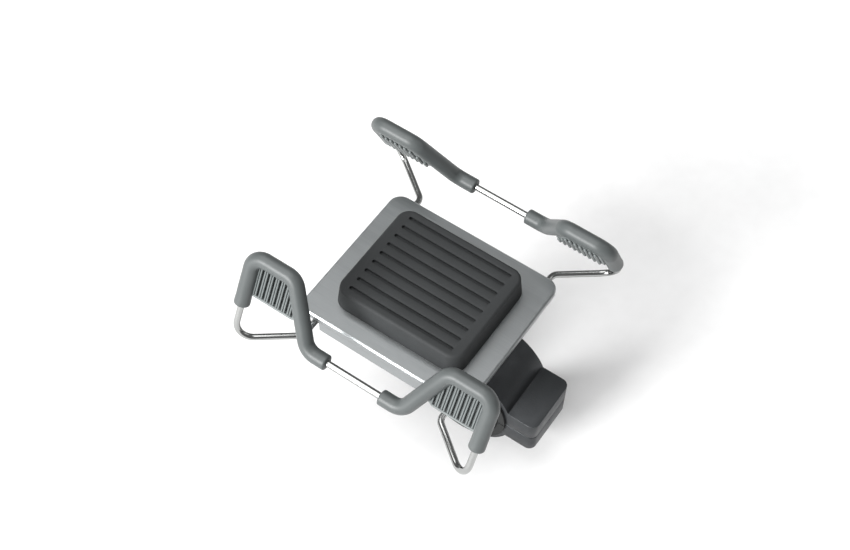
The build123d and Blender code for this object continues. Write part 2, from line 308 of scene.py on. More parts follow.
def drawn_wire(name, colour, roughness, line_mm):
    """Polished drawn metal with fine lines along the piece's own attribute."""
    material, tree = start_material(name)
    along = add(tree, "ShaderNodeAttribute", attribute_name="along").outputs["Fac"]
    ring = add(tree, "ShaderNodeAttribute", attribute_name="ring").outputs["Vector"]
    lengthwise = add(tree, "ShaderNodeMath", {0: along, 1: LINES_PER_METRE_ALONG}, operation="MULTIPLY")
    across = add(
        tree, "ShaderNodeVectorMath", {0: ring, "Scale": wire_r / (line_mm * MM)}, operation="SCALE"
    )
    drift = add(tree, "ShaderNodeCombineXYZ", {"Z": lengthwise})
    place = add(tree, "ShaderNodeVectorMath", {0: across, 1: drift}, operation="ADD")
    lines = add(tree, "ShaderNodeTexNoise", {"Vector": place, "Scale": 1.0, "Detail": 4.0})
    gloss = add(
        tree, "ShaderNodeMapRange",
        {"Value": lines, "From Min": 0.3, "From Max": 0.7, "To Min": roughness - 0.03,
         "To Max": roughness + 0.06},
    )
    metal = add(
        tree, "ShaderNodeBsdfPrincipled",
        {"Base Color": linear(colour), "Metallic": 1.0, "Roughness": gloss},
    )
    add(tree, "ShaderNodeOutputMaterial", {"Surface": metal})
    return material


stainless_wire = drawn_wire("polished_stainless_wire", "#a3a4a3", roughness=0.18, line_mm=0.35)
spring_wire = drawn_wire("bright_spring_wire", "#a9aaa8", roughness=0.26, line_mm=0.3)
print("wires:", stainless_wire.name, spring_wire.name)

# %% [markdown]
# ## Brushed aluminium of the base
# The base plate is extruded, brushed along its length with a belt and then anodised clear. The
# brushing gives long scratches that all run one way, and the highlight spreads across them. Noise
# squeezed to long thin streaks makes them, with the mount's long axis, Y, as the direction of the
# belt. The belt's scratches are about 0.1 mm wide and are drawn at 0.25 mm. Edges rub brighter: a
# Bevel node gives the normal that a rounded edge would have, and where it differs from the true
# one, there is an edge.

# %% Rubbed edges
def rubbed_edges(tree, radius_mm, unrubbed, rubbed, most):
    """Nodes for the normal of a rounded edge, and for a factor that is largest where it differs."""
    rounded = add(tree, "ShaderNodeBevel", {"Radius": radius_mm * MM}, samples=6)
    flat = add(tree, "ShaderNodeNewGeometry").outputs["Normal"]
    alike = add(tree, "ShaderNodeVectorMath", {0: rounded, 1: flat}, operation="DOT_PRODUCT")
    edge = add(
        tree, "ShaderNodeMapRange",
        {"Value": alike, "From Min": unrubbed, "From Max": rubbed, "To Min": 0.0, "To Max": most},
    )
    return rounded, edge


# %% Brushed aluminium
def brushed_metal(name, dull, bright, roughness, streak_mm, length_mm):
    """Metal brushed along Y, with brighter, smoother edges."""
    material, tree = start_material(name)
    place = add(tree, "ShaderNodeTexCoord").outputs["Object"]
    narrow, long = 1 / (streak_mm * MM), 1 / (length_mm * MM)
    belt = add(tree, "ShaderNodeMapping", {"Vector": place, "Scale": (narrow, long, narrow)})
    streaks = add(tree, "ShaderNodeTexNoise", {"Vector": belt, "Scale": 1.0, "Detail": 5.0, "Roughness": 0.6})
    rounded, edge = rubbed_edges(tree, radius_mm=0.35, unrubbed=0.97, rubbed=0.86, most=0.8)
    brushed = add(
        tree, "ShaderNodeMix", {"Factor": streaks, "A": linear(dull), "B": linear(bright)}, data_type="RGBA"
    )
    colour = add(
        tree, "ShaderNodeMix", {"Factor": edge, "A": brushed, "B": linear(bright)}, data_type="RGBA"
    )
    gloss = add(
        tree, "ShaderNodeMapRange",
        {"Value": streaks, "From Min": 0.3, "From Max": 0.7, "To Min": roughness - 0.07,
         "To Max": roughness + 0.1},
    )
    relief = add(
        tree, "ShaderNodeBump",
        {"Height": streaks, "Distance": 0.012 * MM, "Strength": 0.6, "Normal": rounded},
    )
    metal = add(
        tree, "ShaderNodeBsdfPrincipled",
        {"Base Color": colour, "Metallic": 1.0, "Roughness": gloss, "Normal": relief},
    )
    add(tree, "ShaderNodeOutputMaterial", {"Surface": metal})
    return material


brushed_aluminium = brushed_metal(
    "brushed_clear_anodised_aluminium", "#8b8e8f", "#a0a3a4", roughness=0.36, streak_mm=0.25, length_mm=16
)
print("plate:", brushed_aluminium.name)

# %% [markdown]
# ## Blasted, moulded and turned surfaces
# The clamp is machined aluminium, blasted with glass beads and anodised black, so it is evenly
# matt with a fine pebbled grain, and its edges wear grey. The housing is black glass-filled nylon
# from a spark-eroded mould: rougher and not a metal. The bushes are white acetal, the collars
# brass, and the screws black oxide steel. They differ in numbers more than in kind, so one recipe
# with a pebble grain and rubbed edges serves them all. Blasting leaves pits of about 0.1 mm, and
# they and the other grains are drawn at 0.3 to 0.6 mm. The metals keep the default IOR of 1.5.

# %% Grained solids
def grained_solid(name, colour, worn, metallic, roughness, grain_mm, grain_depth_mm, smear_mm=6, ior=1.5):
    """Pebbled surface of a blasted, moulded or turned piece, paler where its edges have rubbed."""
    material, tree = start_material(name)
    place = add(tree, "ShaderNodeTexCoord").outputs["Object"]
    pebbles = add(tree, "ShaderNodeTexVoronoi", {"Vector": place, "Scale": 1 / (grain_mm * MM)})
    smear = add(tree, "ShaderNodeTexNoise", {"Vector": place, "Scale": 1 / (smear_mm * MM), "Detail": 4.0})
    rounded, edge = rubbed_edges(tree, radius_mm=0.3, unrubbed=0.96, rubbed=0.84, most=1.0)
    rubbed = add(tree, "ShaderNodeMath", {0: edge, 1: smear}, operation="MULTIPLY")
    tone = add(
        tree, "ShaderNodeMix", {"Factor": rubbed, "A": linear(colour), "B": linear(worn)}, data_type="RGBA"
    )
    gloss = add(
        tree, "ShaderNodeMapRange",
        {"Value": smear, "From Min": 0.3, "From Max": 0.7, "To Min": roughness - 0.07,
         "To Max": roughness + 0.07},
    )
    relief = add(
        tree, "ShaderNodeBump",
        {"Height": pebbles, "Distance": grain_depth_mm * MM, "Strength": 0.5, "Normal": rounded},
    )
    solid = add(
        tree, "ShaderNodeBsdfPrincipled",
        {"Base Color": tone, "Metallic": metallic, "Roughness": gloss, "IOR": ior, "Normal": relief},
    )
    add(tree, "ShaderNodeOutputMaterial", {"Surface": solid})
    return material


clamp_aluminium = grained_solid(
    "blasted_black_anodised_aluminium", "#3b3d3f", "#8f9192",
    metallic=0.7, roughness=0.46, grain_mm=0.5, grain_depth_mm=0.05,
)
housing_nylon = grained_solid(
    "black_glass_filled_nylon", "#242526", "#444546",
    metallic=0.0, roughness=0.55, grain_mm=0.5, grain_depth_mm=0.06,
)
screw_steel = grained_solid(
    "black_oxide_steel", "#2a2b2d", "#7b7d7e",
    metallic=0.9, roughness=0.36, grain_mm=0.3, grain_depth_mm=0.01,
)
bush_acetal = grained_solid(
    "turned_white_acetal", "#dedcd4", "#eceae4",
    metallic=0.0, roughness=0.38, grain_mm=0.6, grain_depth_mm=0.01, ior=1.48,
)
collar_brass = grained_solid(
    "turned_brass", "#c8a35a", "#e0c283",
    metallic=1.0, roughness=0.3, grain_mm=0.3, grain_depth_mm=0.01,
)
print("metals:", clamp_aluminium.name, screw_steel.name, collar_brass.name)
print("plastics:", housing_nylon.name, bush_acetal.name)

# %% [markdown]
# ## Geometry Nodes, run from a script
# What repeats or follows a line is made by Geometry Nodes. Each tree has named inputs for its
# sizes, so the same tree serves the left and the right arm. A modifier knows its inputs by their
# identifiers, so they are set by those before the object is first evaluated. The result is kept as
# a plain mesh and the modifier goes, because the piece has to stand on its own from then on.

# %% Starting, ending and running a tree
def start_tree(name, **sizes):
    """A Geometry Nodes tree with a geometry input and the named ones; also its input node."""
    tree = bpy.data.node_groups.new(name, "GeometryNodeTree")
    sockets = {"Geometry": "Geometry", **sizes, "Material": "Material"}
    for label, kind in sockets.items():
        tree.interface.new_socket(label.replace("_", " "), in_out="INPUT", socket_type=f"NodeSocket{kind}")
    tree.interface.new_socket("Geometry", in_out="OUTPUT", socket_type="NodeSocketGeometry")
    return tree, tree.nodes.new("NodeGroupInput").outputs


def end_tree(tree, geometry, size):
    """Realize the instances, set the material and connect the output."""
    real = add(tree, "GeometryNodeRealizeInstances", {"Geometry": geometry})
    painted = add(tree, "GeometryNodeSetMaterial", {"Geometry": real, "Material": size["Material"]})
    add(tree, "NodeGroupOutput", {"Geometry": painted})
    print("tree", tree.name, "has", len(tree.nodes), "nodes")


def mesh_of(name, bm):
    """A new mesh made from a BMesh, which is freed."""
    mesh = bpy.data.meshes.new(name)
    bm.to_mesh(mesh)
    bm.free()
    return mesh


def link_piece(name, mesh):
    """A new object that holds a mesh, at the origin."""
    piece = bpy.data.objects.new(name, mesh)
    scene.collection.objects.link(piece)
    return piece


def grow(name, tree, source, **values):
    """Run a tree over a source mesh and keep the result as a plain mesh."""
    piece = link_piece(name, source)
    modifier = piece.modifiers.new(tree.name, "NODES")
    modifier.node_group = tree
    for socket in tree.interface.items_tree:
        key = socket.name.replace(" ", "_")
        if socket.in_out == "INPUT" and key in values:
            modifier[socket.identifier] = values[key]
    depsgraph = bpy.context.evaluated_depsgraph_get()
    mesh = bpy.data.meshes.new_from_object(
        piece.evaluated_get(depsgraph), preserve_all_data_layers=True, depsgraph=depsgraph
    )
    piece.modifiers.remove(modifier)
    piece.data = mesh
    if mesh.materials and mesh.materials[0] is None:
        mesh.materials.pop(index=0)
    return piece


def tidy_mesh(mesh, sharp_degrees=35):
    """Merge doubles, turn the faces outwards, and shade smooth except at sharp edges."""
    bm = bmesh.new()
    bm.from_mesh(mesh)
    bmesh.ops.remove_doubles(bm, verts=bm.verts, dist=0.001 * MM)
    bmesh.ops.recalc_face_normals(bm, faces=bm.faces)
    bm.to_mesh(mesh)
    bm.free()
    mesh.shade_smooth()
    mesh.set_sharp_from_angle(angle=math.radians(sharp_degrees))


def settle(piece, body, slot, *nodes):
    """Put a finished piece on its body, and let it stand for its CAD nodes."""
    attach(piece, body)
    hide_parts(*nodes)
    print(piece.name, len(piece.data.polygons), "faces, on", body)


# %% [markdown]
# ## The wire arms
# An arm is one length of 2.5 mm wire: two legs in the base, two feet, and a hoop with an arch at
# each end and a bridge between them. It could be modelled by hand along its route, but it follows
# a rule, straight runs joined by round bends, so the corners are enough. The tree rounds each
# corner by the radius written on it, sweeps a circle along the line, and notes on each point how
# far along and where round the wire it lies.

# %% A route with its bends
def route_mesh(name, corners, bends):
    """An open chain of edges with the bend radius of each corner on its points."""
    mesh = bpy.data.meshes.new(name)
    mesh.from_pydata(corners, [(i, i + 1) for i in range(len(corners) - 1)], [])
    bend = mesh.attributes.new("bend", "FLOAT", "POINT")
    bend.data.foreach_set("value", [0.0, *bends, 0.0])
    return mesh


def arm_corners(side):
    """Corners of a whole arm, from the end of its front leg to the end of its rear leg."""
    plane = arm_frame(side)
    hoop = [(foot_s, 0), (arch_in_s, 0), (bridge_s, -bridge_drop)]
    legs = [(leg_end_v, leg_s), (knee_v, leg_s), (foot_v, foot_s)]
    halves = []
    for end in (1, -1):
        half = [Vector((side * v, swivel_y + end * s, wire_z)) for v, s in legs]
        half += [plane @ Vector((end * s, h, 0)) for s, h in hoop]
        halves.append(half)
    return halves[0] + halves[1][::-1]


# %% Sweeping the wire
POINTS_PER_BEND = 14


def rounded_route(tree, source):
    """Nodes that turn the corner chain into a curve with round bends."""
    chain = add(tree, "GeometryNodeMeshToCurve", {"Mesh": source})
    bend = add(tree, "GeometryNodeInputNamedAttribute", {"Name": "bend"}, data_type="FLOAT")
    arcs = {"Curve": chain, "Radius": bend, "Count": POINTS_PER_BEND}
    return add(tree, "GeometryNodeFilletCurve", arcs, mode="POLY")


def marked_sweep(tree, curve, scale, segments, caps):
    """Nodes that sweep a circle along a curve and mark each point with along, ring and spine."""
    run = add(tree, "GeometryNodeSplineParameter").outputs["Length"]
    here = add(tree, "GeometryNodeInputPosition")
    marked = add(
        tree, "GeometryNodeStoreNamedAttribute", {"Geometry": curve, "Name": "along", "Value": run},
        data_type="FLOAT", domain="POINT",
    )
    marked = add(
        tree, "GeometryNodeStoreNamedAttribute", {"Geometry": marked, "Name": "spine", "Value": here},
        data_type="FLOAT_VECTOR", domain="POINT",
    )
    circle = add(
        tree, "GeometryNodeCurvePrimitiveCircle", {"Resolution": segments, "Radius": 1.0}, mode="RADIUS"
    )
    ring = add(
        tree, "GeometryNodeStoreNamedAttribute", {"Geometry": circle, "Name": "ring", "Value": here},
        data_type="FLOAT_VECTOR", domain="POINT",
    )
    return add(
        tree, "GeometryNodeCurveToMesh",
        {"Curve": marked, "Profile Curve": ring, "Scale": scale, "Fill Caps": caps},
    )


wire_tree, size = start_tree("bent_wire", Wire_radius="Float")
wire_line = rounded_route(wire_tree, size["Geometry"])
wire_body = marked_sweep(wire_tree, wire_line, size["Wire radius"], segments=48, caps=True)
end_tree(wire_tree, wire_body, size)

# %% Two arms
half_bends = [knee_bend, foot_bend, arch_bend, arch_bend, bridge_bend]
for side_name, side in SIDES.items():
    route = route_mesh(f"arm_route_{side_name}", arm_corners(side), half_bends + half_bends[::-1])
    arm = grow(f"bent_wire_{side_name}", wire_tree, route, Wire_radius=wire_r, Material=stainless_wire)
    tidy_mesh(arm.data)
    settle(arm, f"{side_name}_arm", "stainless_wire", f"wire_arm_{side_name}")

# %% [markdown]
# ## The rubber sleeves
# Each end of an arm wears a rubber sleeve, from the bridge, over the arch and down the outer leg.
# It is a tube of almost 6 mm with a bore that fits the wire, cut square at the ends with a small
# round lip, and it flares a little at the bottom where it was pushed on. The tree sweeps the outside
# with a radius that falls off at the ends, sweeps the bore, and closes the two with a flat ring.

# %% Round ends
def from_the_ends(tree):
    """Nodes for the length of a line still to come, and for the distance to its nearer end."""
    run = add(tree, "GeometryNodeSplineParameter").outputs["Length"]
    whole = add(tree, "GeometryNodeSplineLength").outputs["Length"]
    left_over = add(tree, "ShaderNodeMath", {0: whole, 1: run}, operation="SUBTRACT")
    to_end = add(tree, "ShaderNodeMath", {0: run, 1: left_over}, operation="MINIMUM")
    return left_over, to_end


def quarter_round(tree, to_end, radius, one=1.0):
    """Nodes for a factor that rises to 1 over a radius from an end, as a quarter circle does."""
    short = add(
        tree, "ShaderNodeMapRange",
        {"Value": to_end, "From Min": 0.0, "From Max": radius, "To Min": 1.0, "To Max": 0.0},
    )
    squared = add(tree, "ShaderNodeMath", {0: short, 1: 2.0}, operation="POWER")
    rest_of_one = add(tree, "ShaderNodeMath", {0: one, 1: squared}, operation="SUBTRACT")
    return add(tree, "ShaderNodeMath", {0: rest_of_one}, operation="SQRT")


# %% The sleeve tree
sleeve_step, flare_length, sleeve_segments = 0.3 * MM, 5 * MM, 40
sleeve_tree, size = start_tree(
    "rubber_sleeve", Wire_radius="Float", Sleeve_radius="Float", Lip_radius="Float", Flare="Float"
)
rounded = rounded_route(sleeve_tree, size["Geometry"])
sleeve_line = add(
    sleeve_tree, "GeometryNodeResampleCurve", {"Curve": rounded, "Length": sleeve_step}, mode="LENGTH"
)
left_over, to_end = from_the_ends(sleeve_tree)
round_off = quarter_round(sleeve_tree, to_end, size["Lip radius"])
fall = add(sleeve_tree, "ShaderNodeMath", {0: 1.0, 1: round_off}, operation="SUBTRACT")
lip_fall = add(sleeve_tree, "ShaderNodeMath", {0: fall, 1: size["Lip radius"]}, operation="MULTIPLY")
flare = add(
    sleeve_tree, "ShaderNodeMapRange",
    {"Value": left_over, "From Min": 0.0, "From Max": flare_length, "To Min": size["Flare"], "To Max": 0.0},
    interpolation_type="SMOOTHSTEP",
)
lipped = add(sleeve_tree, "ShaderNodeMath", {0: size["Sleeve radius"], 1: lip_fall}, operation="SUBTRACT")
outside_r = add(sleeve_tree, "ShaderNodeMath", {0: lipped, 1: flare}, operation="ADD")
outside = marked_sweep(sleeve_tree, sleeve_line, outside_r, sleeve_segments, caps=False)

rim_faces = add(sleeve_tree, "GeometryNodeInputMeshEdgeNeighbors")
is_rim = add(
    sleeve_tree, "FunctionNodeCompare", {0: rim_faces, 1: 1}, data_type="INT", operation="EQUAL"
)
drawn_in = add(
    sleeve_tree, "GeometryNodeExtrudeMesh", {"Mesh": outside, "Selection": is_rim, "Offset Scale": 0.0},
    mode="EDGES",
)
spine = add(sleeve_tree, "GeometryNodeInputNamedAttribute", {"Name": "spine"}, data_type="FLOAT_VECTOR")
here = add(sleeve_tree, "GeometryNodeInputPosition")
away = add(sleeve_tree, "ShaderNodeVectorMath", {0: here, 1: spine}, operation="SUBTRACT")
outward = add(sleeve_tree, "ShaderNodeVectorMath", {0: away}, operation="NORMALIZE")
bore_step = add(
    sleeve_tree, "ShaderNodeVectorMath", {0: outward, "Scale": size["Wire radius"]}, operation="SCALE"
)
bore_edge = add(sleeve_tree, "ShaderNodeVectorMath", {0: spine, 1: bore_step}, operation="ADD")
ended = add(
    sleeve_tree, "GeometryNodeSetPosition",
    {"Geometry": drawn_in, "Selection": drawn_in.outputs["Top"], "Position": bore_edge},
)
bore = marked_sweep(sleeve_tree, sleeve_line, size["Wire radius"], sleeve_segments, caps=False)
sleeve_shell = add(sleeve_tree, "GeometryNodeJoinGeometry", {"Geometry": ended})
sleeve_tree.links.new(bore.outputs["Mesh"], sleeve_shell.inputs["Geometry"])
end_tree(sleeve_tree, sleeve_shell, size)


# %% Four sleeves
def sleeve_corners(side, end):
    """Corners of a sleeve's route, from the bridge to the outer leg."""
    flat = [(sleeve_in_s, -bridge_drop), (bridge_s, -bridge_drop), (arch_in_s, 0), (foot_s, 0),
            (foot_s, -sleeve_drop)]
    return [arm_frame(side) @ Vector((end * s, h, 0)) for s, h in flat]


sleeve_lip, sleeve_flare = 0.7 * MM, 0.07 * MM
sleeve_bends = [bridge_bend, arch_bend, arch_bend]
for side_name, side, end, tail in CORNERS:
    route = route_mesh(f"sleeve_route_{tail}", sleeve_corners(side, end), sleeve_bends)
    sleeve = grow(
        f"rubber_sleeve_{tail}", sleeve_tree, route, Wire_radius=wire_r, Sleeve_radius=sleeve_r,
        Lip_radius=sleeve_lip, Flare=sleeve_flare, Material=sleeve_rubber,
    )
    tidy_mesh(sleeve.data)
    settle(sleeve, f"{side_name}_arm", "sleeve_rubber", f"sleeve_{tail}")

# %% [markdown]
# ## The ribbed pads
# A web of rubber fills each arch. It carries twin-edged ribs outside and single, bolder ribs on the
# side of the phone, which is what keeps the phone from slipping, and a bead runs round its lower
# edge. The ribs are parallel to the outer leg and stop at the arch or at the slanting inner leg.
# A tree lays out one line for each rib, as long as the pad is there, and sweeps a bar with round
# ends along it. The bead is the tree's own source line. Web, ribs and bead are closed shells that
# pass into each other, as clay rolls pressed on a slab would.

# %% The rib tree
shortest_rib, rib_step = 1.2 * MM, 0.22 * MM
rib_tree, size = start_tree(
    "pad_ribs", Rib_count="Int", Pitch="Float", First_rib="Float", Bottom="Float", Top="Float",
    Leg_foot="Float", Leg_slope="Float", Height="Float", Rib_radius="Float", Crest_radius="Float",
    Crest_gap="Float", Crest_lift="Float", Bead_radius="Float", Twin_crests="Bool",
)
step_back = add(rib_tree, "ShaderNodeMath", {0: size["Pitch"], 1: -1.0}, operation="MULTIPLY")
first = add(
    rib_tree, "ShaderNodeCombineXYZ", {"X": size["First rib"], "Y": size["Bottom"], "Z": size["Height"]}
)
stride = add(rib_tree, "ShaderNodeCombineXYZ", {"X": step_back})
feet = add(
    rib_tree, "GeometryNodeMeshLine",
    {"Count": size["Rib count"], "Start Location": first, "Offset": stride}, mode="OFFSET",
)
foot_place = add(rib_tree, "GeometryNodeInputPosition")
foot_x = add(rib_tree, "ShaderNodeSeparateXYZ", {"Vector": foot_place}).outputs["X"]
past_leg = add(rib_tree, "ShaderNodeMath", {0: foot_x, 1: size["Leg foot"]}, operation="SUBTRACT")
leg_height = add(rib_tree, "ShaderNodeMath", {0: past_leg, 1: size["Leg slope"]}, operation="DIVIDE")
rib_top = add(rib_tree, "ShaderNodeMath", {0: leg_height, 1: size["Top"]}, operation="MINIMUM")
rib_length = add(rib_tree, "ShaderNodeMath", {0: rib_top, 1: size["Bottom"]}, operation="SUBTRACT")
long_enough = add(
    rib_tree, "FunctionNodeCompare", {0: rib_length, 1: shortest_rib},
    data_type="FLOAT", operation="GREATER_THAN",
)
unit_line = add(
    rib_tree, "GeometryNodeCurvePrimitiveLine", {"Start": (0, 0, 0), "End": (0, 1, 0)}, mode="POINTS"
)
stretch = add(rib_tree, "ShaderNodeCombineXYZ", {"X": 1.0, "Y": rib_length, "Z": 1.0})
rib_lines = add(
    rib_tree, "GeometryNodeInstanceOnPoints",
    {"Points": feet, "Selection": long_enough, "Instance": unit_line, "Scale": stretch},
)
real_lines = add(rib_tree, "GeometryNodeRealizeInstances", {"Geometry": rib_lines})
rib_routes = add(
    rib_tree, "GeometryNodeResampleCurve", {"Curve": real_lines, "Length": rib_step}, mode="LENGTH"
)

# %% Bars with round ends
LITTLE_MORE_THAN_ONE = 1.02  # so that a bar's end doesn't shrink to a point

_, to_end = from_the_ends(rib_tree)
rib_solids = add(rib_tree, "GeometryNodeJoinGeometry")
crests = add(rib_tree, "GeometryNodeJoinGeometry")
for radius_name, shift in [("Rib radius", 0), ("Crest radius", 1), ("Crest radius", -1)]:
    round_end = quarter_round(rib_tree, to_end, size[radius_name], LITTLE_MORE_THAN_ONE)
    bar_r = add(rib_tree, "ShaderNodeMath", {0: round_end, 1: size[radius_name]}, operation="MULTIPLY")
    half_gap = add(rib_tree, "ShaderNodeMath", {0: size["Crest gap"], 1: shift / 2}, operation="MULTIPLY")
    raised = float(shift != 0)
    lift = add(rib_tree, "ShaderNodeMath", {0: size["Crest lift"], 1: raised}, operation="MULTIPLY")
    aside = add(rib_tree, "ShaderNodeCombineXYZ", {"X": half_gap, "Z": lift})
    moved = add(rib_tree, "GeometryNodeTransform", {"Geometry": rib_routes, "Translation": aside})
    circle = add(
        rib_tree, "GeometryNodeCurvePrimitiveCircle", {"Resolution": 14, "Radius": 1.0}, mode="RADIUS"
    )
    bar = add(
        rib_tree, "GeometryNodeCurveToMesh",
        {"Curve": moved, "Profile Curve": circle, "Scale": bar_r, "Fill Caps": True},
    )
    joint = crests if shift else rib_solids
    rib_tree.links.new(bar.outputs["Mesh"], joint.inputs["Geometry"])
twin = add(
    rib_tree, "GeometryNodeSwitch", {"Switch": size["Twin crests"], "True": crests}, input_type="GEOMETRY"
)
rib_tree.links.new(twin.outputs["Output"], rib_solids.inputs["Geometry"])

bead_route = rounded_route(rib_tree, size["Geometry"])
bead_circle = add(
    rib_tree, "GeometryNodeCurvePrimitiveCircle", {"Resolution": 18, "Radius": 1.0}, mode="RADIUS"
)
bead = add(
    rib_tree, "GeometryNodeCurveToMesh",
    {"Curve": bead_route, "Profile Curve": bead_circle, "Scale": size["Bead radius"], "Fill Caps": True},
)
rib_tree.links.new(bead.outputs["Mesh"], rib_solids.inputs["Geometry"])
end_tree(rib_tree, rib_solids, size)

# %% The web and its outline
pad_drop, pad_in_s, pad_corner = 16.2 * MM, 26.6 * MM, 2.6 * MM
pad_inset = 1.9 * MM
web_out, web_in, web_edge_round = -1.6 * MM, -2.8 * MM, 0.3 * MM
leg_slope = (arch_in_s - bridge_s) / bridge_drop


def pad_outline(inset):
    """Corners of the pad, in from the wire's centre line, anticlockwise from the outer top one."""
    inner_s = arch_in_s + inset * math.hypot(1, leg_slope)
    low = pad_drop - pad_corner
    return [
        (foot_s - inset, -inset),
        (inner_s - leg_slope * inset, -inset),
        (inner_s - leg_slope * low, -low),
        (pad_in_s + pad_corner, -pad_drop),
        (foot_s - inset, -pad_drop),
    ]


def plate_mesh(name, outline, top, bottom, edge_round):
    """A flat plate between two heights with rounded edges."""
    bm = bmesh.new()
    face = bm.faces.new([bm.verts.new((x, y, bottom)) for x, y in outline])
    lifted = bmesh.ops.extrude_face_region(bm, geom=[face])["geom"]
    bmesh.ops.translate(
        bm, verts=[v for v in lifted if isinstance(v, bmesh.types.BMVert)], vec=(0, 0, top - bottom)
    )
    bmesh.ops.recalc_face_normals(bm, faces=bm.faces)
    bmesh.ops.bevel(bm, geom=bm.edges[:], offset=edge_round, segments=3, profile=0.5, affect="EDGES")
    return mesh_of(name, bm)


# %% Four pads
bead_lift, bead_height, bead_bend = 0.45 * MM, -0.7 * MM, 1.2 * MM
bead_line = [Vector((s, h + bead_lift, bead_height)) for s, h in pad_outline(pad_inset)[2:]]
rib_foot, leg_clearance = 0.8 * MM, 2.6 * MM
pad_sizes = {"Bottom": rib_foot - pad_drop, "Leg_foot": arch_in_s + leg_clearance, "Leg_slope": leg_slope}
rib_sets = {
    "outer_ribs": {"Rib_count": 8, "Pitch": 2.45 * MM, "First_rib": 45.6 * MM, "Height": -1.25 * MM,
                   "Rib_radius": 0.5 * MM, "Crest_radius": 0.34 * MM, "Crest_lift": 0.75 * MM,
                   "Crest_gap": 0.9 * MM, "Twin_crests": True, "Bead_radius": 0.55 * MM, "Top": -2.2 * MM},
    "phone_ribs": {"Rib_count": 9, "Pitch": 2.05 * MM, "First_rib": 45.4 * MM, "Height": -3.05 * MM,
                   "Rib_radius": 0.68 * MM, "Twin_crests": False, "Bead_radius": 0.4 * MM, "Top": -1.5 * MM},
}
for side_name, side, end, tail in CORNERS:
    bm = bmesh.new()
    bm.from_mesh(plate_mesh(f"web_{tail}", pad_outline(pad_inset), web_out, web_in, web_edge_round))
    for rib_name, rib_sizes in rib_sets.items():
        line = route_mesh(f"{rib_name}_{tail}", bead_line, [bead_bend])
        ribs = grow(f"{rib_name}_{tail}", rib_tree, line, Material=pad_rubber, **pad_sizes, **rib_sizes)
        bm.from_mesh(ribs.data)
        bpy.data.objects.remove(ribs)
    bm.transform(arm_frame(side) @ Matrix.Diagonal((end, 1, 1, 1)))
    pad_mesh = mesh_of(f"ribbed_pad_{tail}", bm)
    pad_mesh.materials.append(pad_rubber)
    tidy_mesh(pad_mesh, sharp_degrees=50)
    settle(link_piece(f"ribbed_pad_{tail}", pad_mesh), f"{side_name}_arm", "pad_rubber", f"pad_{tail}")

# %% [markdown]
# ## The coil springs
# A compression spring sits on each leg, between the collar at the leg's inner end and the bush in
# the wall of the base. It pushes the collar inwards, which pulls the arm in. The tree gives a
# spiral a rise of its own, so that the end coils lie closed, as on a real spring, and sweeps the
# wire along it. Each spring is made at its length at rest and is not put on a body.

# %% The spring tree
FIRST_OPEN_COIL, LAST_OPEN_COIL = 0.12, 0.88  # as shares of the whole wire
spring_tree, size = start_tree(
    "coil_spring", Length="Float", Coil_radius="Float", Wire_radius="Float", Turns="Float"
)
spiral = add(
    spring_tree, "GeometryNodeCurveSpiral",
    {"Resolution": 22, "Rotations": size["Turns"], "Start Radius": size["Coil radius"],
     "End Radius": size["Coil radius"], "Height": 1 * MM},
)
share = add(spring_tree, "GeometryNodeSplineParameter").outputs["Factor"]
wire_width = add(spring_tree, "ShaderNodeMath", {0: size["Wire radius"], 1: 2.0}, operation="MULTIPLY")
shut_height = add(spring_tree, "ShaderNodeMath", {0: wire_width, 1: size["Turns"]}, operation="MULTIPLY")
end_room = add(spring_tree, "ShaderNodeMath", {0: size["Length"], 1: wire_width}, operation="SUBTRACT")
opening = add(spring_tree, "ShaderNodeMath", {0: end_room, 1: shut_height}, operation="SUBTRACT")
shut_rise = add(spring_tree, "ShaderNodeMath", {0: share, 1: shut_height}, operation="MULTIPLY")
open_share = add(
    spring_tree, "ShaderNodeMapRange",
    {"Value": share, "From Min": FIRST_OPEN_COIL, "From Max": LAST_OPEN_COIL,
     "To Min": 0.0, "To Max": opening},
)
height = add(spring_tree, "ShaderNodeMath", {0: shut_rise, 1: open_share}, operation="ADD")
lifted = add(spring_tree, "ShaderNodeMath", {0: height, 1: size["Wire radius"]}, operation="ADD")
spot = add(spring_tree, "ShaderNodeSeparateXYZ", {"Vector": add(spring_tree, "GeometryNodeInputPosition")})
along_x = add(
    spring_tree, "ShaderNodeCombineXYZ", {"X": lifted, "Y": spot.outputs["X"], "Z": spot.outputs["Y"]}
)
coil = add(spring_tree, "GeometryNodeSetPosition", {"Geometry": spiral, "Position": along_x})
spring_body = marked_sweep(spring_tree, coil, size["Wire radius"], segments=10, caps=True)
end_tree(spring_tree, spring_body, size)

# %% Four springs
spring_wire_r, spring_turns = 0.3 * MM, 8.0
for side_name, side, _, tail in CORNERS:
    low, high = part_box(f"spring_{tail}")
    middle = (low + high) / 2
    spring = grow(
        f"coil_spring_{tail}", spring_tree, bpy.data.meshes.new(f"spring_{tail}"),
        Length=high.x - low.x, Coil_radius=(high.z - low.z) / 2 - spring_wire_r,
        Wire_radius=spring_wire_r, Turns=spring_turns, Material=spring_wire,
    )
    spring.data.transform(Matrix.Translation((low.x, middle.y, middle.z)))
    tidy_mesh(spring.data)
    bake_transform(spring)
    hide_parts(f"spring_{tail}")
print("springs", round((high.x - low.x) / MM, 1), "mm long at rest")

# %% [markdown]
# ## Screws
# The heads show what kind of screw they are, so they need a hexagon socket, a chamfer and, on the
# cap screws, a knurled side. A turned part is a stack of rings, and a ring can be round, knurled or
# a hexagon with as many points as the round ones, so that one lathe function makes them all. The
# tree then sets a screw on each point of its source, turned by a seeded random angle, because
# nobody lines up the sockets when tightening screws.

# %% A lathe with hexagons
KNURL_GROOVE = 0.965  # radius at the bottom of a groove, as a share of the full one


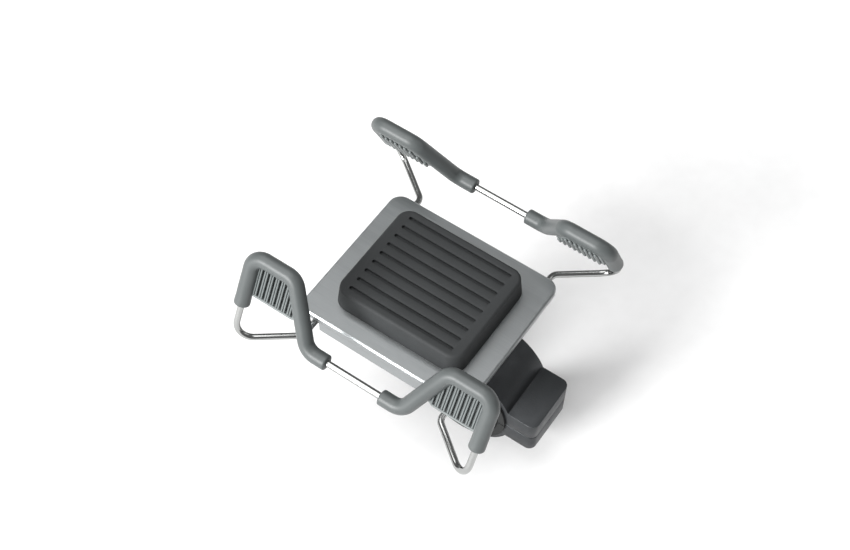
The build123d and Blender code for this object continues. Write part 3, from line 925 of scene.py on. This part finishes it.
def turned(name, rings, segments=48):
    """Closed solid from rings of (radius, z, shape). Shape is round, hex or knurl."""
    bm = bmesh.new()
    loops = []
    for radius, z, shape in rings:
        if radius == 0:
            loops.append([bm.verts.new((0, 0, z))])
            continue
        loop = []
        for i in range(segments):
            angle = 2 * math.pi * i / segments
            r = radius
            if shape == "hex":
                r *= math.cos(math.pi / 6) / math.cos(angle % (math.pi / 3) - math.pi / 6)
            if shape == "knurl" and i % 2:
                r *= KNURL_GROOVE
            loop.append(bm.verts.new((r * math.cos(angle), r * math.sin(angle), z)))
        loops.append(loop)
    for one, two in zip(loops, loops[1:]):
        for i in range(segments):
            j = (i + 1) % segments
            ring = [one[i % len(one)], one[j % len(one)], two[j % len(two)], two[i % len(two)]]
            bm.faces.new(list(dict.fromkeys(ring)))
    bmesh.ops.recalc_face_normals(bm, faces=bm.faces)
    return mesh_of(name, bm)


def socket_screw(name, head_r, head_h, hex_r, hex_depth, shank_r, length, side="round"):
    """A socket screw that points up, with the outer face of its head at z = 0."""
    bevel = 0.12 * head_r
    soft = 0.3 * bevel
    socket = [(0, hex_depth * 1.15, "hex"), (hex_r, hex_depth, "hex"), (hex_r, 0.1 * hex_depth, "hex")]
    head = [(hex_r * 1.12, 0, "round"), (head_r - bevel, 0, "round"), (head_r - soft, soft, "round"),
            (head_r, bevel, side), (head_r, head_h - soft, side), (head_r - soft, head_h, "round")]
    shank = [(shank_r, head_h, "round"), (shank_r, length - 0.4 * shank_r, "round"),
             (0.6 * shank_r, length, "round"), (0, length, "round")]
    return turned(name, socket + head + shank, segments=96 if side == "knurl" else 48)


# %% The screw tree
screw_tree, size = start_tree("placed_screws", Screw="Object", Seed="Int")
chosen = add(screw_tree, "GeometryNodeObjectInfo", {"Object": size["Screw"]}).outputs["Geometry"]
any_turn = add(
    screw_tree, "FunctionNodeRandomValue",
    {"Min": (0, 0, 0), "Max": (0, 0, math.pi / 3), "Seed": size["Seed"]}, data_type="FLOAT_VECTOR",
)
screws = add(
    screw_tree, "GeometryNodeInstanceOnPoints",
    {"Points": size["Geometry"], "Instance": chosen, "Rotation": any_turn},
)
end_tree(screw_tree, screws, size)


# %% Screws in their places
def place_screws(name, mesh, places, seed, body, node):
    """One piece that holds a screw at every place."""
    master = link_piece(f"{name}_master", mesh)
    spots = bpy.data.meshes.new(f"{name}_spots")
    spots.from_pydata(places, [], [])
    piece = grow(name, screw_tree, spots, Screw=master, Seed=seed, Material=screw_steel)
    bpy.data.objects.remove(master)
    tidy_mesh(piece.data, sharp_degrees=30)
    settle(piece, body, "screw_steel", node)


def four_places(node, head_r):
    """Centres of the four screw heads in a node, at the height of its lowest face."""
    low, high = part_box(node)
    return [Vector((x, y, low.z)) for x in (low.x + head_r, high.x - head_r)
            for y in (low.y + head_r, high.y - head_r)]


cap_head_r, pan_head_r = 3.5 * MM, 2.9 * MM
cap_low, cap_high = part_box("cap_screws")
cap_screw = socket_screw(
    "cap_screw", cap_head_r, head_h=4 * MM, hex_r=1.73 * MM, hex_depth=2 * MM, shank_r=2 * MM,
    length=cap_high.z - cap_low.z, side="knurl",
)
place_screws(
    "knurled_cap_screws", cap_screw, four_places("cap_screws", cap_head_r), 3, "clamp", "cap_screws"
)
pan_low, pan_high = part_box("housing_screws")
pan_screw = socket_screw(
    "pan_screw", pan_head_r, head_h=1.7 * MM, hex_r=1.2 * MM, hex_depth=1 * MM, shank_r=1.5 * MM,
    length=pan_high.z - pan_low.z,
)
place_screws(
    "housing_pan_screws", pan_screw, four_places("housing_screws", pan_head_r), 8, "base", "housing_screws"
)

# %% [markdown]
# ## The swivel bolt and its washers
# The base turns on the shoulder of one bolt. A wave washer under the head presses the base down on
# a plastic friction washer, so the base stays where it is turned to. The bolt is lathe work. The
# wave washer starts as a flat ring from the same lathe, and is then lifted by a sine of the angle,
# three waves to a turn.

# %% Swivel bolt
wave_low, wave_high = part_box("wave_washer")
head_top, head_under = bolt_high.z, wave_high.z
shoulder_end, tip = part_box("friction_washer")[0].z, bolt_low.z
bolt_head_r, shoulder_r, thread_r, hex_r = 6.5 * MM, 4 * MM, 2.5 * MM, 2.5 * MM
hex_depth, broken, chamfer = 2.2 * MM, 0.2 * MM, 0.6 * MM
hexagon = [(0, head_top - hex_depth - broken), (hex_r, head_top - hex_depth), (hex_r, head_top - broken)]
profile = [
    (hex_r + 2 * broken, head_top), (bolt_head_r - chamfer, head_top), (bolt_head_r, head_top - chamfer),
    (bolt_head_r, head_under + broken), (bolt_head_r - broken, head_under), (shoulder_r, head_under),
    (shoulder_r, shoulder_end + broken), (shoulder_r - broken, shoulder_end), (thread_r, shoulder_end),
    (thread_r, tip + chamfer), (thread_r - 0.5 * MM, tip), (0, tip),
]
bolt = turned("shoulder_bolt", [(r, z, "hex") for r, z in hexagon] + [(r, z, "round") for r, z in profile])
bolt.transform(Matrix.Translation((0, swivel_y, 0)))
bolt.materials.append(screw_steel)
tidy_mesh(bolt, sharp_degrees=30)
settle(link_piece("shoulder_bolt", bolt), "clamp", "screw_steel", "swivel_bolt")

# %% Wave washer
wave_t, wave_play = 0.3 * MM, 0.1 * MM
wave_lift = (wave_high.z - wave_low.z - wave_t) / 2
wave_out_r, wave_in_r = (wave_high.x - wave_low.x) / 2, shoulder_r + wave_play
wave_middle = (wave_low.z + wave_high.z) / 2
wave_ring = [(wave_in_r, wave_t / 2), (wave_out_r, wave_t / 2), (wave_out_r, -wave_t / 2),
             (wave_in_r, -wave_t / 2), (wave_in_r, wave_t / 2)]
washer = turned("wave_spring_washer", [(r, z, "round") for r, z in wave_ring], segments=72)
for vertex in washer.vertices:
    vertex.co.z += wave_middle + wave_lift * math.sin(3 * math.atan2(vertex.co.y, vertex.co.x))
washer.transform(Matrix.Translation((0, swivel_y, 0)))
washer.materials.append(spring_wire)
tidy_mesh(washer, sharp_degrees=30)
settle(link_piece("wave_spring_washer", washer), "clamp", "spring_steel", "wave_washer")

# %% [markdown]
# ## Machined and moulded bodies
# The plate, the housing, the clamp halves and the rest pad have their true shape in CAD, but its
# sharp edges are knife sharp, and real ones are broken or moulded round, which is where the light
# catches. A bevel needs whole faces, not loose triangles, so each is copied, its doubles merged and
# its flat areas joined, and then bevelled by a fraction of a millimetre. Where two bevels leave a
# face with no width, that face is dissolved.

# %% Softened copies
MERGE_DISTANCE = 0.002 * MM
FLAT_ANGLE, BEVEL_ANGLE, SHARP_ANGLE = (math.radians(a) for a in (0.5, 32, 28))


def softened(node, name, body, slot, material, width_mm):
    """A copy of a CAD node with its sharp edges rounded."""
    mesh = frame["nodes"][node].data.copy()
    mesh.materials.clear()
    mesh.materials.append(material)
    bm = bmesh.new()
    bm.from_mesh(mesh)
    bmesh.ops.remove_doubles(bm, verts=bm.verts, dist=MERGE_DISTANCE)
    bmesh.ops.dissolve_limit(
        bm, angle_limit=FLAT_ANGLE, verts=bm.verts, edges=bm.edges, use_dissolve_boundaries=False
    )
    bm.to_mesh(mesh)
    bm.free()
    piece = link_piece(name, mesh)
    bevel = piece.modifiers.new("edge_round", "BEVEL")
    bevel.width = width_mm * MM
    bevel.segments = 3
    bevel.limit_method = "ANGLE"
    bevel.angle_limit = BEVEL_ANGLE
    depsgraph = bpy.context.evaluated_depsgraph_get()
    piece.data = bpy.data.meshes.new_from_object(piece.evaluated_get(depsgraph), depsgraph=depsgraph)
    piece.modifiers.clear()
    bm = bmesh.new()
    bm.from_mesh(piece.data)
    bmesh.ops.remove_doubles(bm, verts=bm.verts, dist=MERGE_DISTANCE)
    bmesh.ops.dissolve_degenerate(bm, dist=MERGE_DISTANCE, edges=bm.edges)
    bm.to_mesh(piece.data)
    bm.free()
    piece.data.shade_smooth()
    piece.data.set_sharp_from_angle(angle=SHARP_ANGLE)
    settle(piece, body, slot, node)


softened("base_plate", "brushed_base_plate", "base", "brushed_aluminium", brushed_aluminium, 0.22)
softened("base_housing", "nylon_housing", "base", "housing_plastic", housing_nylon, 0.2)
softened("rest_pad", "grooved_rest_pad", "base", "rest_rubber", rest_rubber, 0.35)
softened("clamp_arm", "swivel_clamp_half", "clamp", "clamp_aluminium", clamp_aluminium, 0.35)
softened("clamp_cap", "lower_clamp_half", "clamp", "clamp_aluminium", clamp_aluminium, 0.35)

# %% [markdown]
# ## The rubber liners
# Two half rings of rubber line the clamp, with a lip on each side so that they can't creep out.
# Rings moulded round the bore bite on the bar. A half ring is one cross section turned through
# half a circle, so the section is drawn once, with its ridges as a row of short bumps.

# %% Liners
def liner_section(bore_r, back_r, lip_r, half_width, lip_width):
    """Points (x, r) round the cross section of a liner, with ridges along the bore."""
    outer = half_width + lip_width
    points = [(-outer, lip_r), (-half_width, lip_r), (-half_width, back_r), (half_width, back_r),
              (half_width, lip_r), (outer, lip_r)]
    ridges, steps_per_ridge, ridge_depth = 13, 6, 0.22 * MM
    steps = ridges * steps_per_ridge
    for i in range(steps + 1):
        x = outer - 2 * outer * i / steps
        wave = 0.5 - 0.5 * math.cos(2 * math.pi * i / steps_per_ridge)
        points.append((x, bore_r + ridge_depth * wave))
    return points


def half_turn(name, section, start, stop, steps=72):
    """Closed solid: a cross section turned about X from one angle to another."""
    bm = bmesh.new()
    rows = []
    for k in range(steps + 1):
        angle = start + (stop - start) * k / steps
        rows.append([bm.verts.new((x, r * math.cos(angle), r * math.sin(angle))) for x, r in section])
    count = len(section)
    for one, two in zip(rows, rows[1:]):
        for i in range(count):
            j = (i + 1) % count
            bm.faces.new((one[i], one[j], two[j], two[i]))
    bm.faces.new(rows[0])
    bm.faces.new(rows[-1])
    bmesh.ops.recalc_face_normals(bm, faces=bm.faces)
    return mesh_of(name, bm)


clamp_mount = next(mount for mount in frame["record"]["mounts"] if mount["name"] == "handlebar_clamp")
handlebar_r = clamp_mount["dims"]["r_mm"] * MM
liner_low, liner_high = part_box("liner_upper")
liner_wall, lip_width = 1.0 * MM, 1.0 * MM
section = liner_section(
    handlebar_r, handlebar_r + liner_wall, liner_high.z, liner_high.x - lip_width, lip_width
)
split_angle = liner_low.z / handlebar_r
for node, first_angle in (("liner_upper", split_angle), ("liner_lower", math.pi + split_angle)):
    liner = half_turn(f"ridged_{node}", section, first_angle, first_angle + math.pi - 2 * split_angle)
    liner.materials.append(liner_rubber)
    tidy_mesh(liner, sharp_degrees=40)
    settle(link_piece(f"ridged_{node}", liner), "clamp", "liner_rubber", node)

# %% [markdown]
# ## Small turned pieces
# The bushes, the collars and the friction washer are simple turned rings, and CAD has them as they
# are, so they stay and only get their materials.

# %% Finish the CAD rings
ring_finishes = {"bush_": bush_acetal, "collar_": collar_brass, "friction_": bush_acetal}
for node_name, node in frame["nodes"].items():
    for start_of_name, material in ring_finishes.items():
        if node_name.startswith(start_of_name):
            node.data.materials.clear()
            node.data.materials.append(material)
            print(node_name, "is", material.name)
